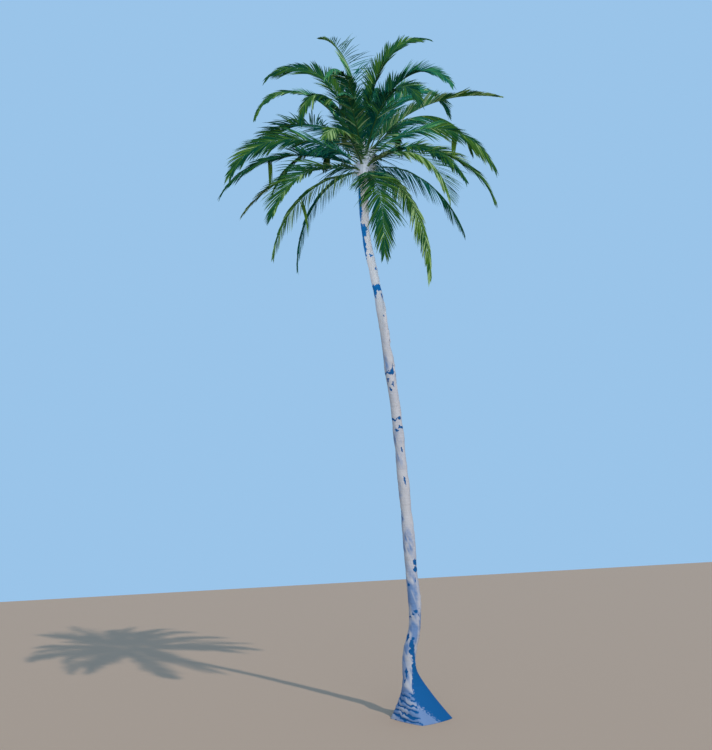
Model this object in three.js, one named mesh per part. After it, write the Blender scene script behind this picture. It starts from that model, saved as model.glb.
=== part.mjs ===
// A coconut palm, in millimetres, +Z up. The origin is the middle of the flat cut under the trunk, at ground level.
// One slender, swaying trunk on a flared four-cornered foot carries an upright heart of leaf sheaths, and arching
// fronds grow from the heart on every side. Each frond is a thin, roof-shaped blade of the outline that its leaflets
// fill, pointed at the tip. A frond that arches far over is two blades, which meet at the bend.
import * as THREE from "three";

// ---- Driving dimensions -------------------------------------------------------------------------------------------
const SEAT_GAP = 0.3; // clearance between pieces that bear on each other

// Trunk: its middle line as [height, sideways, backwards], swaying left as it climbs.
const TRUNK_TOP = 14100;
const TRUNK_LINE = [
  [0, 0, 0],
  [700, -145, 0],
  [1450, -325, 20],
  [2500, -160, 60],
  [4000, -270, 110],
  [5500, -400, 140],
  [7000, -550, 150],
  [8100, -675, 150],
  [9300, -850, 140],
  [10500, -1020, 110],
  [11500, -1210, 70],
  [12500, -1425, 30],
  [13300, -1500, 0],
  [TRUNK_TOP, -1510, 0],
];
const TRUNK_RADIUS_LOW = 178; // above the foot
const TRUNK_RADIUS_HIGH = 99; // below the crown
const TRUNK_SIDES = 24;
const TRUNK_RINGS = 36;
const RING_CROWDING = 1.6; // above 1, the rings crowd towards the ground
const NECK_SWELL = 36; // the trunk widens again by this much where the sheaths begin
const NECK_HEIGHT = 2200; // over this much of its top
const LUMP_HEIGHT = 7; // slow swells along the trunk
const LUMP_SPACING = 1450;

// Foot: the flare adds FOOT_SPREAD to the radius at the ground and fades out at FOOT_HEIGHT.
const FOOT_SPREAD = 640;
const FOOT_HEIGHT = 1450;
const FOOT_FADE = 1.7;
const FOOT_SQUARENESS = 1.2; // the power of the cut's rounded diamond: 1 is a square, 2 a circle

// Heart: the upright bundle of leaf sheaths and the spear of unopened leaves on top of it.
const HEART_RADIUS = 150;
const HEART_HEIGHT = 820;
const SPEAR_HEIGHT = 1150;
const SPEAR_TIP_RADIUS = 14;
const HEART_SIDES = 24;

// Fronds: sizes that all of them share.
const FROND_STALK_WIDTH = 76; // at the seat on the heart
const FROND_STALK_DEPTH = 52;
const FROND_TIP_DEPTH = 12;
const FROND_EDGE = 14; // the blade's least half width
const FROND_HALF_WIDTH = 500; // the reach of the leaflets from the rib, at the widest
const YOUNG_WIDTH = 0.72; // the youngest fronds are this much narrower, as their leaflets lie further forwards
const FROND_HANG = 0.42; // how far the blade's edges hang below the rib, as a share of the reach
const STALK_SHARE = 0.09; // of the length has no leaflets
const FROND_STATIONS = 14;
const SPLIT_TURN = 84; // a frond that turns down by more than this, in degrees, is two blades

// Young fronds stand up and are seated high on the heart; old ones droop and are seated low. The seat's height is
// worked out from the slope between these two, as a share of the heart's height.
const OLDEST = { slope: -20, seat: 0.1 };
const YOUNGEST = { slope: 90, seat: 0.97 };

// Each frond: the compass bearing that it grows towards (0 is right, 90 away, 180 left, 270 near), its slope at the
// seat and at the tip in degrees, its length, and how late it bends (1 is evenly).
const FRONDS = [
  [124, 88, 6, 4350, 1.6],
  [82, 78, -30, 3900, 1.4],
  [30, 89, -14, 4300, 2.0],
  [250, 80, -52, 3900, 1.3],
  [160, 78, -46, 4250, 1.8],
  [316, 76, -58, 4150, 1.4],
  [293, 59, -60, 4200, 1.4],
  [40, 64, -80, 4250, 2.2],
  [4, 64, -10, 4200, 0.8],
  [210, 60, -84, 4150, 1.7],
  [241, 50, -95, 4100, 2.0],
  [256, 23, -36, 4100, 1.5],
  [144, 55, -50, 4050, 1.1],
  [206, 26, -74, 4300, 1.6],
  [171, 18, -62, 4250, 1.6],
  [231, 2, -72, 4150, 1.6],
  [150, 8, -52, 4200, 1.4],
  [220, -9, -82, 4100, 1.2],
  [260, 42, -26, 3800, 1.6],
  [280, -10, -98, 4100, 1.6],
  [312, -5, -92, 4250, 0.8],
  [36, 13, -66, 4100, 1.0],
  [306, 16, -76, 4150, 1.4],
  [8, 32, -74, 4200, 1.1],
  [352, 48, -72, 4150, 1.1],
  [29, 55, -78, 4300, 1.5],
  [315, 23, -61, 3950, 1.2],
  [72, 58, -66, 4200, 1.4],
  [108, 52, -68, 4200, 1.3],
  [61, 11, -78, 4200, 1.2],
  [86, 32, -58, 4100, 1.4],
  [129, -1, -96, 4300, 1.2],
  [134, 34, -64, 4200, 1.2],
];

// ---- Small helpers ------------------------------------------------------------------------------------------------
const radians = THREE.MathUtils.degToRad;
const mix = THREE.MathUtils.lerp;
const steps = (count) => Array.from({ length: count + 1 }, (_, i) => i / count);

/** A closed solid lofted through rings of the same number of points, with each end filled from its first point. */
function loft(rings) {
  const size = rings[0].length;
  const faces = [];
  for (let r = 0; r + 1 < rings.length; r++)
    for (let i = 0; i < size; i++) {
      const a = r * size + i;
      const b = r * size + ((i + 1) % size);
      faces.push(a, b, b + size, a, b + size, a + size);
    }
  const last = (rings.length - 1) * size;
  for (let i = 1; i + 1 < size; i++) {
    faces.push(0, i + 1, i);
    faces.push(last, last + i, last + i + 1);
  }
  const geometry = new THREE.BufferGeometry();
  geometry.setFromPoints(rings.flat());
  geometry.setIndex(faces);
  return geometry.toNonIndexed();
}

function mesh(name, geometry, material) {
  geometry.computeVertexNormals();
  const made = new THREE.Mesh(geometry, material);
  made.name = name;
  return made;
}

// ---- Materials ----------------------------------------------------------------------------------------------------
const bark = new THREE.MeshStandardMaterial({ color: 0xb2b8c3, roughness: 0.85, metalness: 0 });
const sheath = new THREE.MeshStandardMaterial({ color: 0xb7b6ae, roughness: 0.8, metalness: 0 });
const leaf = new THREE.MeshStandardMaterial({ color: 0x2f5f2c, roughness: 0.45, metalness: 0 });

// ---- Trunk --------------------------------------------------------------------------------------------------------
const trunkLine = new THREE.CatmullRomCurve3(
  TRUNK_LINE.map(([height, sideways, backwards]) => new THREE.Vector3(sideways, backwards, height)),
);

/** The trunk's middle at a height, found by halving the curve's parameter. */
function trunkMiddle(height) {
  let [low, high] = [0, 1];
  for (let i = 0; i < 40; i++) {
    const middle = (low + high) / 2;
    if (trunkLine.getPoint(middle).z < height) low = middle;
    else high = middle;
  }
  return trunkLine.getPoint(low).setZ(height);
}

/** The trunk's radius at a height: an even taper, the foot's flare, the neck's swelling and slow lumps. */
function trunkRadius(height) {
  const taper = mix(TRUNK_RADIUS_LOW, TRUNK_RADIUS_HIGH, height / TRUNK_TOP);
  const flare = FOOT_SPREAD * Math.max(0, 1 - height / FOOT_HEIGHT) ** FOOT_FADE;
  const neck = NECK_SWELL * Math.max(0, 1 - (TRUNK_TOP - height) / NECK_HEIGHT) ** 2;
  const lumps = LUMP_HEIGHT * Math.sin((2 * Math.PI * height) / LUMP_SPACING);
  return taper + flare + neck + lumps;
}

/** One level ring of the trunk, a diamond with soft corners at the ground and round above the foot. */
function trunkRing(height) {
  const middle = trunkMiddle(height);
  const radius = trunkRadius(height);
  const power = mix(FOOT_SQUARENESS, 2, Math.min(1, height / FOOT_HEIGHT));
  return steps(TRUNK_SIDES)
    .slice(0, TRUNK_SIDES)
    .map((share) => {
      const x = Math.cos(2 * Math.PI * share);
      const y = Math.sin(2 * Math.PI * share);
      const reach = radius / (Math.abs(x) ** power + Math.abs(y) ** power) ** (1 / power);
      return new THREE.Vector3(middle.x + reach * x, middle.y + reach * y, height);
    });
}

/** The trunk's rings lie closer together in the foot, whose outline curves most. */
function makeTrunk() {
  const rings = steps(TRUNK_RINGS).map((share) => trunkRing(TRUNK_TOP * share ** RING_CROWDING));
  return mesh("trunk", loft(rings), bark);
}

// ---- Heart --------------------------------------------------------------------------------------------------------
const heartFoot = trunkMiddle(TRUNK_TOP).setZ(TRUNK_TOP + SEAT_GAP);

function makeHeart() {
  const ring = (radius, height) =>
    steps(HEART_SIDES)
      .slice(0, HEART_SIDES)
      .map((share) => {
        const angle = 2 * Math.PI * share;
        return new THREE.Vector3(Math.cos(angle) * radius, Math.sin(angle) * radius, height).add(heartFoot);
      });
  const shoulder = HEART_HEIGHT + 0.25 * (SPEAR_HEIGHT - HEART_HEIGHT);
  return mesh(
    "heart",
    loft([
      ring(HEART_RADIUS, 0),
      ring(HEART_RADIUS, HEART_HEIGHT),
      ring(0.6 * HEART_RADIUS, shoulder),
      ring(SPEAR_TIP_RADIUS, SPEAR_HEIGHT),
    ]),
    sheath,
  );
}

/** How far the heart's many-sided outline reaches from its axis towards a bearing. */
function heartReach(bearing) {
  const side = (2 * Math.PI) / HEART_SIDES;
  const offCorner = bearing - side * Math.round(bearing / side);
  return HEART_RADIUS * Math.cos(offCorner);
}

// ---- Fronds -------------------------------------------------------------------------------------------------------
/** The rib as evenly spaced points, each with its direction, the way to its side and the way above it. */
function ribOf([bearingDegrees, rise, fall, length, late]) {
  const bearing = radians(bearingDegrees);
  const outward = new THREE.Vector3(Math.cos(bearing), Math.sin(bearing), 0);
  const side = new THREE.Vector3(-outward.y, outward.x, 0);
  const youth = (rise - OLDEST.slope) / (YOUNGEST.slope - OLDEST.slope);
  const at = outward
    .clone()
    .multiplyScalar(heartReach(bearing) + SEAT_GAP)
    .add(heartFoot)
    .setZ(heartFoot.z + HEART_HEIGHT * mix(OLDEST.seat, YOUNGEST.seat, youth));
  const fine = FROND_STATIONS * 20; // small steps, so that the arch's shape doesn't depend on the stations
  const rib = [];
  for (let i = 0; i <= fine; i++) {
    const share = i / fine;
    const slope = radians(mix(rise, fall, share ** late));
    const along = outward.clone().multiplyScalar(Math.cos(slope)).setZ(Math.sin(slope));
    const above = new THREE.Vector3().crossVectors(along, side);
    if (i % (fine / FROND_STATIONS) === 0) rib.push({ share, youth, at: at.clone(), along, side, above, outward });
    at.addScaledVector(along, length / fine);
  }
  return rib;
}

/** The blade's half width along the frond: a bare stalk, a quick opening, a broad middle and a pointed tip. */
function halfWidth(share, youth) {
  const leafy = Math.max(0, (share - STALK_SHARE) / (1 - STALK_SHARE));
  const open = Math.sin((Math.PI / 2) * Math.min(1, leafy / 0.9) ** 0.6);
  const close = Math.sqrt(Math.max(0, 1 - leafy ** 3));
  const stalk = mix(FROND_STALK_WIDTH / 2, 18, Math.min(1, share / STALK_SHARE));
  const blade = FROND_HALF_WIDTH * mix(1, YOUNG_WIDTH, youth) * open * close * (1 - 0.3 * leafy);
  return Math.max(stalk * (1 - leafy), blade, FROND_EDGE);
}

/** One cut across the blade: its left edge, its ridge, its right edge and its underside. */
function section({ share, youth, at, side, above }) {
  const reach = halfWidth(share, youth);
  const depth = mix(FROND_STALK_DEPTH, FROND_TIP_DEPTH, Math.min(1, share * 1.4));
  const hang = FROND_HANG * (reach - FROND_EDGE) * Math.min(1, share / (2 * STALK_SHARE));
  const edge = (sign) => at.clone().addScaledVector(side, sign * reach).addScaledVector(above, -hang);
  const middle = (sign) => at.clone().addScaledVector(above, (sign * depth) / 2);
  return [edge(1), middle(1), edge(-1), middle(-1)];
}

/** The first cut stands upright on the heart, so that a steep frond's foot stays clear of it. */
function seatSection({ outward, ...station }) {
  return section({ ...station, above: new THREE.Vector3().crossVectors(outward, station.side) });
}

/** One blade, or an inner and an outer blade that meet at the bend. */
function makeFrond(row, index) {
  const rib = ribOf(row);
  const sections = rib.map((station, i) => (i === 0 ? seatSection(station) : section(station)));
  const name = `frond_${String(index + 1).padStart(2, "0")}`;
  const [, rise, fall] = row;
  if (rise - fall <= SPLIT_TURN) return [mesh(name, loft(sections), leaf)];
  const bend = FROND_STATIONS / 2;
  const outer = sections.slice(bend).map((ring) => ring.map((point) => point.clone()));
  outer[0].forEach((point) => point.addScaledVector(rib[bend].along, SEAT_GAP));
  return [mesh(`${name}_inner`, loft(sections.slice(0, bend + 1)), leaf), mesh(`${name}_outer`, loft(outer), leaf)];
}

// ---- The palm -----------------------------------------------------------------------------------------------------
const palm = new THREE.Group();
palm.add(makeTrunk(), makeHeart(), ...FRONDS.flatMap(makeFrond));

export default palm;
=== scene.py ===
import bmesh
import bpy
import numpy as np
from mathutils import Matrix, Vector


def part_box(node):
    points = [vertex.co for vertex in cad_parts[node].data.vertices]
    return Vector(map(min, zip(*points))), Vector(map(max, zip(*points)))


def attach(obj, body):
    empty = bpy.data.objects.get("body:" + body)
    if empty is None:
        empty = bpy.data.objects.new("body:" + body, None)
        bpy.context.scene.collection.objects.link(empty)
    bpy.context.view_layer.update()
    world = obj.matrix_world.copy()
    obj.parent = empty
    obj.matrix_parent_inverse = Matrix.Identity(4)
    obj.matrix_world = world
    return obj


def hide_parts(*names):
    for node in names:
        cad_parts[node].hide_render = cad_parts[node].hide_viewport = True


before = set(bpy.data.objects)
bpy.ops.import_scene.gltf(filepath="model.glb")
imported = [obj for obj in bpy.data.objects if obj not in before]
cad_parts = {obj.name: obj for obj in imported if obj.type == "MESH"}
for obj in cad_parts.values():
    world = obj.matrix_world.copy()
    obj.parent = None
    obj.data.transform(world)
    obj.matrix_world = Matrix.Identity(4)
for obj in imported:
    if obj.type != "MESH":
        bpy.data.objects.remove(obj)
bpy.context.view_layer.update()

# ---- Studio --------------------------------------------------------------------------------------
# A pale floor whose far edge runs askew behind the palm, a sun from the front right, a very soft fill light
# from the front, and bluish light from all round. The camera stands level, far off, at half the palm's
# height and a little to the left of its foot.
EYE = Vector((-1.708, -36.6, 8.97))
LENS = 67.2  # millimetres, for a picture 36 mm high
SIGHT = 500  # how far the camera sees
FLOOR_FAR_LEFT = Vector((-15.8, 18.7, 0))
FLOOR_FAR_RIGHT = Vector((15.4, 30.6, 0))
FLOOR_REACH = 90
FLOOR_COLOUR = (0.385, 0.262, 0.184)
FLOOR_ROUGHNESS = 0.9
SUN_BEARING = Vector((7.25, -9.07, 0)).normalized()
SUN_ELEVATION = np.radians(51)
SUN_STRENGTH = 2.0
SUN_SOFTNESS = np.radians(1.0)
SUN_COLOUR = (1, 0.96, 0.88)
FILL_BEARING = Vector((0, -1, 0.12))
FILL_STRENGTH = 2.2
FILL_SOFTNESS = np.radians(50)
FILL_COLOUR = (0.80, 0.94, 1)
ROOM_LIGHT = (0.28, 0.48, 0.71, 1)
ROOM_STRENGTH = 1.15

scene = bpy.context.scene
scene.view_settings.view_transform = "Standard"


def add(name, data):
    """Puts an object with that data at the origin."""
    made = bpy.data.objects.new(name, data)
    scene.collection.objects.link(made)
    return made


camera = add("camera", bpy.data.cameras.new("camera"))
camera.location = EYE
camera.rotation_euler = (np.pi / 2, 0, 0)
camera.data.lens = LENS
camera.data.clip_end = SIGHT
scene.camera = camera

sun = add("sun", bpy.data.lights.new("sun", "SUN"))
sun.data.energy = SUN_STRENGTH
sun.data.angle = SUN_SOFTNESS
sun.data.color = SUN_COLOUR
towards_sun = SUN_BEARING * np.cos(SUN_ELEVATION) + Vector((0, 0, np.sin(SUN_ELEVATION)))
sun.rotation_euler = towards_sun.to_track_quat("Z", "Y").to_euler()

fill = add("fill", bpy.data.lights.new("fill", "SUN"))
fill.data.energy = FILL_STRENGTH
fill.data.angle = FILL_SOFTNESS
fill.data.color = FILL_COLOUR
fill.rotation_euler = FILL_BEARING.to_track_quat("Z", "Y").to_euler()

world = bpy.data.worlds.new("room")
world.use_nodes = True
world.node_tree.nodes["Background"].inputs["Color"].default_value = ROOM_LIGHT
world.node_tree.nodes["Background"].inputs["Strength"].default_value = ROOM_STRENGTH
scene.world = world


def painted(name, colour, roughness):
    """A new material of one colour, its nodes, its links and its shader."""
    material = bpy.data.materials.new(name)
    material.use_nodes = True
    material.diffuse_color = (*colour, 1)
    nodes = material.node_tree.nodes
    shader = nodes["Principled BSDF"]
    shader.inputs["Base Color"].default_value = (*colour, 1)
    shader.inputs["Roughness"].default_value = roughness
    return material, nodes, material.node_tree.links, shader


far = (FLOOR_FAR_RIGHT - FLOOR_FAR_LEFT).normalized()
near = Vector((far.y, -far.x, 0))
floor_corners = [
    FLOOR_FAR_LEFT - far * FLOOR_REACH,
    FLOOR_FAR_LEFT - far * FLOOR_REACH + near * 2 * FLOOR_REACH,
    FLOOR_FAR_RIGHT + far * FLOOR_REACH + near * 2 * FLOOR_REACH,
    FLOOR_FAR_RIGHT + far * FLOOR_REACH,
]
floor_mesh = bpy.data.meshes.new("floor")
floor_mesh.from_pydata(floor_corners, [], [(0, 1, 2, 3)])
floor_mesh.materials.append(painted("floor", FLOOR_COLOUR, FLOOR_ROUGHNESS)[0])
add("floor", floor_mesh)

# ---- Trunk ---------------------------------------------------------------------------------------
# The stem of a palm has no bark that peels: its smooth grey skin is faintly ringed by the scars of fallen
# fronds, with deep blue patches and short cracks between them, and it is cut flat at the ground under a
# four-cornered foot. Its colours also hold painted shade, bluer on the lower stem, the foot and listed
# places, and painted light high on the stem, where the crown's shadow falls.
TRUNK_ROWS = 1000
TRUNK_COLUMNS = 96
SCAR_GAP_LOW = 0.088
SCAR_GAP_HIGH = 0.058
SCAR_LIP = 0.0035
SCAR_TILT = 0.16  # of a gap, up and down round the stem
LUMP_DEPTH = 0.011
KNOB_DEPTH = 0.016
CRACK_DEPTH = 0.004
GRIT_DEPTH = 0.002
RIDGE_GAP = 0.135  # between the ridges of the foot's left face
RIDGE_DEPTH = 0.007
# Where the foot's faces meet, as shares of a turn: its right and back faces, its back and left faces, and
# its two front faces.
BACK_CREASE = (0.20, 0.24)
LEFT_CREASE = (0.48, 0.52)
FOOT_CREASE = 0.75
# Between these heights the foot fades into the stem, and the flat right face into the round skin above it.
FOOT_FADE = (0.66, 0.80)
KNEE_FADE = (1.36, 1.42)
FAN_TOP = 0.55  # height at which the paler fan beside the foot's crease begins
FAN_SPREAD = 0.13  # its width at the ground, as a share of a turn
PAINTED_LIGHT_FADE = (9.5, 12.5)  # painted light: the skin is painted paler between these heights, where the crown's shadow falls
RIGHT_EDGE = 0.95  # place of a bluer line down the stem, as a share of a turn
RIGHT_EDGE_WIDTH = 0.05
RIGHT_EDGE_FADE = (4, 8)
GROUND_FADE = (0.0, 0.02)  # the relief dies away at the ground
SHADE_PAINTED_BELOW = (1.0, 6.0)  # painted shade: the skin is painted bluer downwards between these heights
CRACK_WIDTH = 0.09  # in the values of the noise whose zero line it follows
# How far the crease lies to the side of each ring's middle, by height.
CREASE_SHIFT = ([0, 0.3, 0.6, 0.87, 1.1, 1.45, 1.8], [0, -0.05, -0.09, -0.09, 0, 0.10, 0])
# Knobbly places: height, place round the stem as a share of a turn, and half their height and width.
KNOBS = [(9.4, 0.95, 1.1, 0.13), (11.0, 0.95, 0.4, 0.1)]
# Blue patches, listed in the same way. 0 looks right, 1/4 away, 1/2 left and 3/4 to the front.
BLUE_PATCHES = [
    (13.45, 0.54, 0.50, 0.15), (12.74, 0.55, 0.20, 0.26), (12.45, 0.54, 0.45, 0.13),
    (12.10, 0.80, 0.03, 0.07), (11.75, 0.86, 0.02, 0.05), (11.25, 0.75, 0.08, 0.70),
    (11.13, 0.62, 0.10, 0.10), (10.98, 0.64, 0.05, 0.03), (11.02, 0.86, 0.10, 0.03),
    (10.93, 0.95, 0.06, 0.05), (10.49, 0.80, 0.03, 0.02), (10.20, 0.96, 0.05, 0.03),
    (9.17, 0.88, 0.10, 0.04), (9.06, 0.82, 0.07, 0.08), (9.02, 0.70, 0.035, 0.14),
    (9.00, 0.55, 0.035, 0.10), (8.86, 0.64, 0.05, 0.04), (8.60, 0.68, 0.05, 0.04), (8.74, 0.78, 0.06, 0.03),
    (7.80, 0.66, 0.035, 0.13), (7.86, 0.84, 0.035, 0.07), (7.60, 0.87, 0.05, 0.11),
    (7.54, 0.72, 0.035, 0.06), (7.02, 0.80, 0.07, 0.02), (6.20, 0.79, 0.13, 0.025),
    (5.30, 0.57, 0.17, 0.018), (4.07, 0.90, 0.08, 0.09), (3.89, 0.90, 0.09, 0.10),
    (3.63, 0.83, 0.05, 0.025), (3.50, 0.62, 0.04, 0.03), (2.64, 0.60, 0.04, 0.05), (2.72, 0.68, 0.04, 0.05),
    (2.80, 0.77, 0.04, 0.05), (2.86, 0.88, 0.03, 0.02), (2.70, 0.86, 0.03, 0.02), (2.13, 0.57, 0.12, 0.05),
    (2.02, 0.73, 0.12, 0.04), (1.85, 0.76, 0.22, 0.05), (1.60, 0.81, 0.24, 0.06), (1.40, 0.77, 0.10, 0.04),
    (1.20, 0.62, 0.12, 0.02), (1.02, 0.60, 0.07, 0.03), (12.90, 0.30, 0.25, 0.10),
    (10.60, 0.33, 0.10, 0.12), (9.80, 0.20, 0.30, 0.05), (8.20, 0.10, 0.06, 0.09), (6.60, 0.27, 0.20, 0.06),
    (5.10, 0.12, 0.07, 0.05), (3.20, 0.32, 0.15, 0.08), (1.70, 0.28, 0.35, 0.06),
]
# Painted shade: places where the skin is painted bluer and darker, listed in the same way.
PAINTED_SHADES = [
    (9.32, 0.60, 0.24, 0.14), (7.05, 0.62, 0.45, 0.17), (4.60, 0.66, 0.30, 0.16), (5.50, 0.56, 1.00, 0.08),
    (3.30, 0.66, 0.55, 0.16), (2.40, 0.78, 0.50, 0.22), (1.50, 0.60, 0.90, 0.20), (0.40, 0.62, 0.80, 0.16),
    (12.90, 0.60, 1.10, 0.16), (11.40, 0.58, 0.60, 0.10), (8.00, 0.20, 1.50, 0.15),
    (3.00, 0.25, 2.00, 0.15),
]


def through(knots, values, at):
    """The smooth curve through the values at the knots, read at other places: on each stretch a cubic with
    the two end values, and at each knot the slope from its two neighbours."""
    values = np.asarray(values, float)
    at = np.asarray(at, float)
    slopes = np.gradient(values, knots, axis=0)
    left = np.clip(np.searchsorted(knots, at, side="right") - 1, 0, len(knots) - 2)
    gap = np.asarray(knots)[left + 1] - np.asarray(knots)[left]
    part = (at - np.asarray(knots)[left]) / gap
    if values.ndim > 1:
        gap, part = gap[..., None], part[..., None]
    rise, rest = part**2 * (3 - 2 * part), part * (1 - part)
    return (
        values[left] * (1 - rise)
        + values[left + 1] * rise
        + gap * rest * ((1 - part) * slopes[left] - part * slopes[left + 1])
    )


def mottle(around, along, cells, seed):
    """Smooth noise from -1 to 1: chance values on a net of cells, closed round the stem, with eased steps
    between."""
    table = np.random.default_rng(seed).uniform(-1, 1, (cells[0], cells[1] + 2))
    u = around * cells[0]
    v = np.clip(along, 0, 1) * cells[1]
    i, j = np.floor(u).astype(int), np.floor(v).astype(int)
    fu, fv = u - i, v - j
    fu, fv = fu * fu * (3 - 2 * fu), fv * fv * (3 - 2 * fv)
    i0, i1 = i % cells[0], (i + 1) % cells[0]
    low = table[i0, j] * (1 - fu) + table[i1, j] * fu
    high = table[i0, j + 1] * (1 - fu) + table[i1, j + 1] * fu
    return low * (1 - fv) + high * fv


def eased(value, start, end):
    """0 before start, 1 after end, and an eased slope between."""
    part = np.clip((value - start) / (end - start), 0, 1)
    return part * part * (3 - 2 * part)


def tube_faces(count, rows, columns):
    """The quads and the two end faces of that many tubes, each a grid of rows closed round. They look
    outwards when the columns run anticlockwise seen from the end of the rows."""
    row, column = np.meshgrid(np.arange(rows - 1), np.arange(columns), indexing="ij")
    beside = (column + 1) % columns
    low, high = row * columns, (row + 1) * columns
    sides = np.stack((low + column, low + beside, high + beside, high + column), -1).reshape(-1, 4)
    ring = np.arange(columns)
    ends = np.stack((ring[::-1], ring + (rows - 1) * columns))
    tube = (np.arange(count) * rows * columns)[:, None, None]
    return (sides + tube).reshape(-1, 4), (ends + tube).reshape(-1, columns)


def shell_mesh(name, points, kinds, attributes=(), smooth=True):
    """A mesh from an array of points and, for each kind of face, an array of faces with the same number of
    corners."""
    mesh = bpy.data.meshes.new(name)
    mesh.vertices.add(points.size // 3)
    mesh.vertices.foreach_set("co", np.asarray(points, np.float32).ravel())
    corners = np.concatenate([faces.ravel() for faces in kinds]).astype(np.int32)
    sizes = np.concatenate([np.full(len(faces), faces.shape[1]) for faces in kinds])
    mesh.loops.add(len(corners))
    mesh.loops.foreach_set("vertex_index", corners)
    mesh.polygons.add(len(sizes))
    mesh.polygons.foreach_set("loop_start", (np.cumsum(sizes) - sizes).astype(np.int32))
    mesh.update(calc_edges=True)
    for key, values in dict(attributes).items():
        layer = mesh.attributes.new(key, "FLOAT", "POINT")
        layer.data.foreach_set("value", np.asarray(values, np.float32).ravel())
    mesh.polygons.foreach_set("use_smooth", np.full(len(sizes), smooth))
    mesh.validate()
    return mesh


def merged_corners(name):
    """A CAD node's corners, each once, and the pairs of them that an edge joins."""
    shell = bmesh.new()
    shell.from_mesh(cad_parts[name].data)
    bmesh.ops.remove_doubles(shell, verts=shell.verts, dist=1e-4)
    shell.verts.index_update()
    corners = np.array([corner.co for corner in shell.verts])
    pairs = np.array([[corner.index for corner in edge.verts] for edge in shell.edges])
    shell.free()
    return corners, pairs


def trunk_rings():
    """The CAD trunk's level rings: their heights, middles, reach along the axes, and the power of their
    outline, which is a circle at 2 and a diamond towards 1. At 45 degrees the outline reaches as far as
    along the axes, times 2 raised to half less one part in that power."""
    corners, _ = merged_corners("trunk")
    heights = np.unique(corners[:, 2].round(3))
    middles, reaches, powers = [], [], []
    for height in heights:
        ring = corners[abs(corners[:, 2] - height) < 0.002]
        middle = (ring.min(0) + ring.max(0)) / 2
        reach = np.ptp(ring[:, 0]) / 2
        slanting = np.ptp(ring[:, :2] @ (np.sqrt(0.5), np.sqrt(0.5))) / 2
        middles.append(middle[:2])
        reaches.append(reach)
        powers.append(1 / max(0.5 - np.log2(slanting / reach), 0.5))
    return heights, np.array(middles), np.array(reaches), np.array(powers)


def scar_phase(height, angle):
    """How many frond scars lie below a place: the gaps shrink evenly up the trunk, and each scar tilts and
    wavers."""
    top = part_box("trunk")[1].z
    shrink = (SCAR_GAP_HIGH - SCAR_GAP_LOW) / top
    count = np.log1p(shrink * height / SCAR_GAP_LOW) / shrink
    around, along = angle / (2 * np.pi), height / top
    tilt = SCAR_TILT * np.sin(angle + 9 * along + 2 * np.sin(40 * along))
    waver = 0.35 * mottle(around, along, (3, 130), 1)
    return count + tilt + waver + 0.12 * mottle(around, along, (14, 260), 2)


def patches(places, height, around):
    """A mask that is 1 in the middle of each oval patch, 1/2 on its edge, and falls away outside it: 1 less
    half the square of the distance from its middle, counted in the patch's half height and half width.
    Noise shifts the places up and round the stem beforehand, so that the edges waver."""
    mask = np.full(height.shape, -1.0)
    along = height / height.max()
    height = height + 0.035 * mottle(around, along, (16, 220), 31)
    height = height + 0.02 * mottle(around, along, (40, 520), 32)
    shift = 0.03 * mottle(around, along, (9, 160), 33)
    around = around + shift + 0.015 * mottle(around, along, (30, 420), 34)
    for up, turn, tall, wide in places:
        aside = (around - turn + 0.5) % 1 - 0.5
        mask = np.maximum(mask, 1 - 0.5 * (((height - up) / tall) ** 2 + (aside / wide) ** 2))
    return mask


ring_heights, ring_middles, ring_reaches, ring_powers = trunk_rings()
trunk_top = ring_heights[-1]
height = np.linspace(0, trunk_top, TRUNK_ROWS)[:, None] + np.zeros(TRUNK_COLUMNS)
angle = np.linspace(0, 2 * np.pi, TRUNK_COLUMNS, endpoint=False) + np.zeros((TRUNK_ROWS, 1))
around, along = angle / (2 * np.pi), height / trunk_top
power = through(ring_heights, ring_powers, height)
outline = (abs(np.cos(angle)) ** power + abs(np.sin(angle)) ** power) ** (-1 / power)
radius = through(ring_heights, ring_reaches, height)
middle = through(ring_heights, ring_middles, height)
crease = np.interp(height, *CREASE_SHIFT)
crease = crease * np.where(around > 0.5, abs(np.sin(angle)) ** 1.5, 0)
sideways = radius * outline * np.cos(angle) + crease

in_foot = 1 - eased(height, *FOOT_FADE)
under_knee = 1 - eased(height, *KNEE_FADE)
left_face = eased(around, *LEFT_CREASE) * (1 - eased(around, FOOT_CREASE - 0.02, FOOT_CREASE))
back_face = eased(around, *BACK_CREASE) * (1 - eased(around, *LEFT_CREASE))
right_face = eased(around, FOOT_CREASE, FOOT_CREASE + 0.015) + (1 - eased(around, *BACK_CREASE))

# The relief, outwards: scars that rise slowly to a lip and drop, the foot's ridges, lumps, knobs, cracks
# and grit, with the foot's right face nearly flat.
scar = scar_phase(height, angle) % 1
lip = scar - eased(scar, 0.78, 1.0)
wave = 0.6 * mottle(around, along, (16, 90), 3) + 0.5 * mottle(around, along, (40, 140), 4)
ridge = np.sin(2 * np.pi * (height + 0.06 * wave) / RIDGE_GAP + 22 * around)
lumps = mottle(around, along, (5, 42), 5) + 0.5 * mottle(around, along, (9, 120), 6)
knobs = mottle(around, along, (20, 130), 12) * patches(KNOBS, height, around).clip(0, 1)
crack_line = mottle(around, along, (17, 150), 7)
crack = np.exp(-((crack_line / CRACK_WIDTH) ** 2)) * eased(mottle(around, along, (8, 60), 8), -0.1, 0.5)
grit = mottle(around, along, (60, 900), 9)
flat = under_knee * right_face
relief = (
    SCAR_LIP * (lip - 0.35) * (1 - in_foot).clip(0, 1)
    + RIDGE_DEPTH * (ridge - 0.4) * in_foot * (left_face + back_face)
    + LUMP_DEPTH * lumps * (1 - 0.8 * flat)
    + KNOB_DEPTH * knobs
    - CRACK_DEPTH * crack * (1 - flat)
    + GRIT_DEPTH * grit * (1 - 0.7 * flat)
)
relief *= eased(height, *GROUND_FADE)
points = np.stack(
    (
        middle[..., 0] + sideways + relief * np.cos(angle),
        middle[..., 1] + (radius * outline + relief) * np.sin(angle),
        height,
    ),
    -1,
)
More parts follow.
